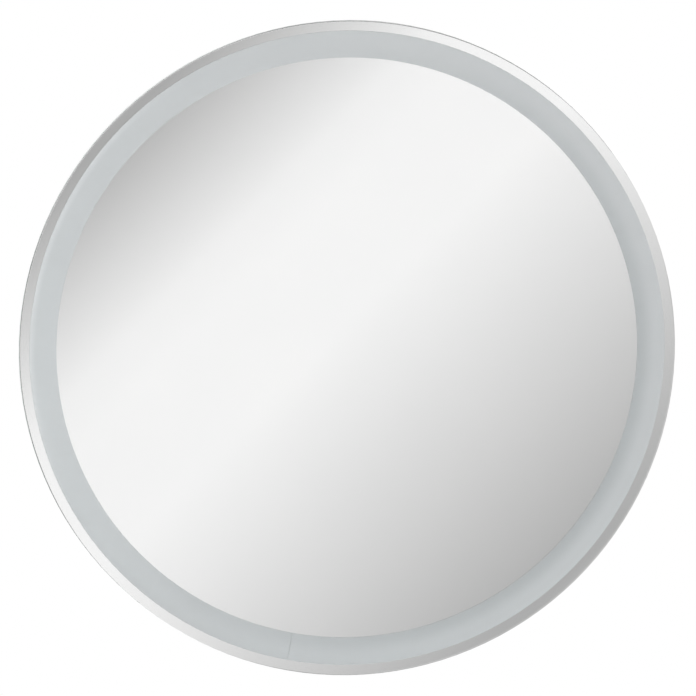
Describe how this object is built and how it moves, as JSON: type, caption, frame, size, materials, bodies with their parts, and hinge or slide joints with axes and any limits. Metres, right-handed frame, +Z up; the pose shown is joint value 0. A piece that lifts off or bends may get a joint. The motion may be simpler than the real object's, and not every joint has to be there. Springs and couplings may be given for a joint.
{
  "type": "lighted wall mirror",
  "caption": "Round wall mirror with a frosted light ring near its edge, an aluminium frame behind the glass and a hook-on wall rail.",
  "frame": {"origin": "midpoint between the two screw holes of the wall rail, on the wall plane", "axes": "+Z up, +Y into the wall, -Y the way the mirror faces, +X to the right as seen from the room"},
  "size_m": [0.5999, 0.038, 0.6],
  "materials": {
    "clear_glass": "polished float glass",
    "silvering": "silvered, painted behind",
    "white_film": "woven polyester safety film",
    "black_foam": "closed-cell foam",
    "opal_acrylic": "opal acrylic behind etched glass",
    "white_abs": "moulded",
    "tape_board": "white solder mask",
    "led_package": "yellow phosphor",
    "anodised_aluminium": "brushed, clear anodised",
    "galvanised_steel": "galvanised sheet",
    "rail_steel": "bright zinc plated",
    "zinc_steel": "zinc plated",
    "black_rubber": "moulded",
    "natural_polyamide": "moulded",
    "brass": "drawn",
    "tinned_brass": "tinned",
    "white_case": "fine spark texture",
    "circuit_board": "green solder mask",
    "ferrite": "sintered",
    "coil_tape": "yellow winding tape",
    "capacitor_sleeve": "shrink sleeve",
    "switch_black": "moulded",
    "rocker_black": "moulded",
    "blue_pvc": "insulation",
    "brown_pvc": "insulation",
    "green_pvc": "insulation",
    "red_pvc": "insulation",
    "black_pvc": "insulation"
  },
  "bodies": {
    "wall_rail": {"wall_rail": "rail_steel"},
    "mirror": {"glass_disc": "clear_glass", "silver_centre": "silvering", "silver_rim": "silvering", "safety_film": "white_film", "foam_tape": "black_foam", "diffuser_ring": "opal_acrylic", "reflector_tray": "white_abs", "light_seal": "black_foam", "led_tape": "tape_board", "led_chips": "led_package", "frame_ring": "anodised_aluminium", "frame_joint_plate": "anodised_aluminium", "frame_rivets": "anodised_aluminium", "rear_cover": "galvanised_steel", "cover_screws": "zinc_steel", "service_hatch": "galvanised_steel", "hatch_gasket": "black_foam", "hatch_screws": "zinc_steel", "cable_grommet": "black_rubber", "wall_bumpers": "black_rubber", "hanger_rail": "rail_steel", "hanger_rivets": "zinc_steel", "terminal_block": "natural_polyamide", "terminal_clamps": "brass", "terminal_screws": "zinc_steel", "block_screws": "zinc_steel", "driver_case": "white_case", "driver_lid": "white_case", "driver_board": "circuit_board", "transformer_core": "ferrite", "transformer_coil": "coil_tape", "driver_capacitors": "capacitor_sleeve", "driver_connectors": "natural_polyamide", "driver_screws": "zinc_steel", "earth_stud": "zinc_steel", "earth_lug": "tinned_brass", "earth_nut": "zinc_steel", "switch_body": "switch_black", "switch_tabs": "tinned_brass", "wire_neutral": "blue_pvc", "wire_live": "brown_pvc", "wire_switched": "brown_pvc", "wire_earth": "green_pvc", "cable_clips": "natural_polyamide", "wire_led_plus": "red_pvc", "wire_led_minus": "black_pvc"},
    "rocker": {"switch_rocker": "rocker_black", "switch_bridge": "brass"}
  },
  "joints": [
    {"name": "lift_off", "type": "slide", "parent": "wall_rail", "child": "mirror", "axis": [0, 0, 1], "range_m": [0, 0.012]},
    {"name": "switch_press", "type": "hinge", "parent": "mirror", "child": "rocker", "pos_m": [0, -0.01475, -0.43352], "axis": [0, -1, 0], "range_deg": [0, 18]}
  ]
}
